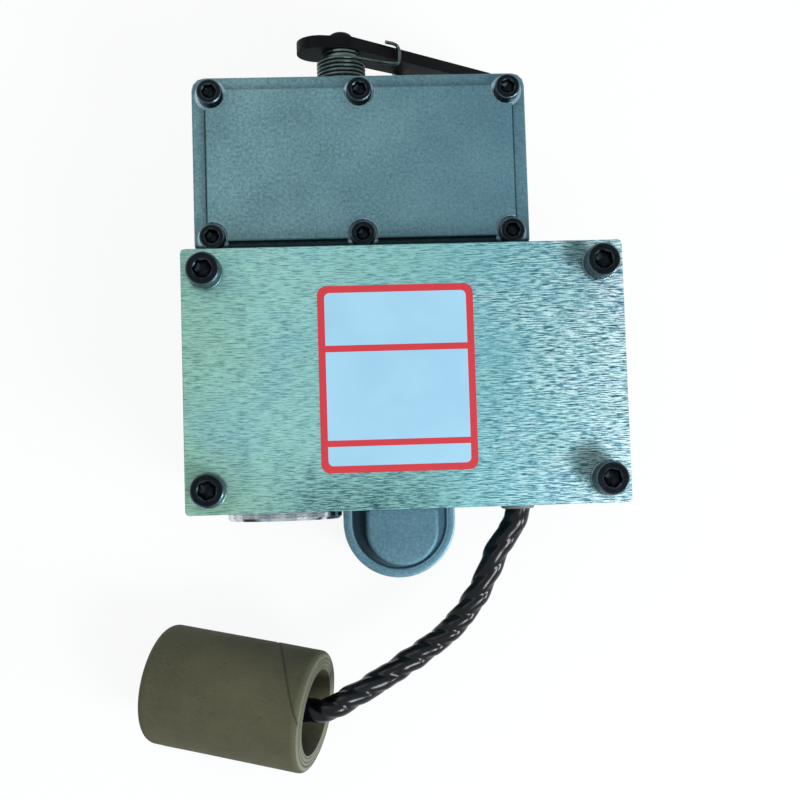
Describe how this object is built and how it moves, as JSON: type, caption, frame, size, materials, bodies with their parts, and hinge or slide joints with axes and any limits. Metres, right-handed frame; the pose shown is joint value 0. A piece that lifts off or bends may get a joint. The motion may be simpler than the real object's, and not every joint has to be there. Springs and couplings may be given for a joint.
{
  "type": "engine governor actuator",
  "caption": "Electric governor actuator for an injection pump: cast housing, steel cover plate, sprung stop lever, rack link and a cable with its connector in a paper guard.",
  "frame": {"origin": "point of the rear mounting face straight behind the middle of the steel plate", "axes": "+Z out of the steel plate, away from the pump; +Y from the steel plate towards the link compartment and the stop lever; +X to the right seen from the front"},
  "size_m": [0.2048, 0.3091, 0.1156],
  "materials": {
    "cast_aluminium": "as-cast, blasted",
    "ground_steel": "ground along its length, zinc plated",
    "black_steel": "black oxide",
    "lever_black": "satin black",
    "spring_steel": "drawn wire",
    "turned_steel": "turned bright",
    "dull_steel": "plain steel",
    "core_iron": "laminated iron",
    "copper_wire": "enamelled copper wire",
    "former_nylon": "nylon",
    "gasket_fibre": "gasket fibre",
    "gland_rubber": "moulded rubber",
    "cable_black": "heat-shrunk sleeve",
    "connector_black": "moulded",
    "kraft_paper": "spiral-wound kraft paper"
  },
  "bodies": {
    "actuator": {"armature_stop_screw": "dull_steel", "bearing_carrier": "turned_steel", "cable": "cable_black", "cable_gland": "gland_rubber", "carrier_screw_1": "black_steel", "carrier_screw_2": "black_steel", "carrier_screw_3": "black_steel", "coil_former_lower": "former_nylon", "coil_former_upper": "former_nylon", "coil_winding_lower": "copper_wire", "coil_winding_upper": "copper_wire", "connector_body": "connector_black", "core_bolt_1": "dull_steel", "core_bolt_2": "dull_steel", "coupling_ring": "connector_black", "cover_gasket": "gasket_fibre", "cover_plate": "ground_steel", "cover_screw_1": "black_steel", "cover_screw_2": "black_steel", "cover_screw_3": "black_steel", "cover_screw_4": "black_steel", "cover_screw_5": "black_steel", "cover_screw_6": "black_steel", "end_cap": "cast_aluminium", "end_cap_gasket": "gasket_fibre", "housing": "cast_aluminium", "lever_spring": "spring_steel", "lever_stop_pin": "dull_steel", "link_cover": "cast_aluminium", "lock_washer_1": "black_steel", "lock_washer_2": "black_steel", "lock_washer_3": "black_steel", "lock_washer_4": "black_steel", "lower_bearing": "dull_steel", "paper_guard_tube": "kraft_paper", "plate_gasket": "gasket_fibre", "plate_screw_1": "black_steel", "plate_screw_2": "black_steel", "plate_screw_3": "black_steel", "plate_screw_4": "black_steel", "return_spring": "spring_steel", "stator_core": "core_iron", "stop_screw_nut": "dull_steel", "stop_shaft_bush": "dull_steel", "upper_bearing": "dull_steel"},
    "stop_lever_set": {"stop_lever": "lever_black", "stop_shaft": "dull_steel", "stop_finger": "dull_steel", "lever_screw": "lever_black", "shaft_circlip": "black_steel", "lever_washer": "dull_steel"},
    "armature_set": {"armature": "core_iron", "armature_shaft": "turned_steel", "output_arm": "dull_steel", "arm_pin": "dull_steel"},
    "rack_link_body": {"rack_link": "dull_steel"}
  },
  "joints": [
    {"name": "stop_lever_hinge", "type": "hinge", "parent": "actuator", "child": "stop_lever_set", "pos_m": [-0.0215, 0.1407, 0.068], "axis": [0, -1, 0], "range_deg": [0, 40], "stiffness_Nm_per_rad": 0.25, "springref_deg": -34.38, "deforming": ["lever_spring"]},
    {"name": "armature_hinge", "type": "hinge", "parent": "actuator", "child": "armature_set", "pos_m": [-0.0502, 0, 0.052], "axis": [0, -1, 0], "range_deg": [0, 25], "stiffness_Nm_per_rad": 0.8, "springref_deg": -22.92, "deforming": ["return_spring"]},
    {"name": "rack_link_slide", "type": "slide", "parent": "actuator", "child": "rack_link_body", "axis": [0, 0, 1], "range_m": [0, 0.0139]}
  ],
  "couplings": [
    {"joint": "rack_link_slide", "follows": "armature_hinge", "m_per_rad": 0.03175}
  ]
}
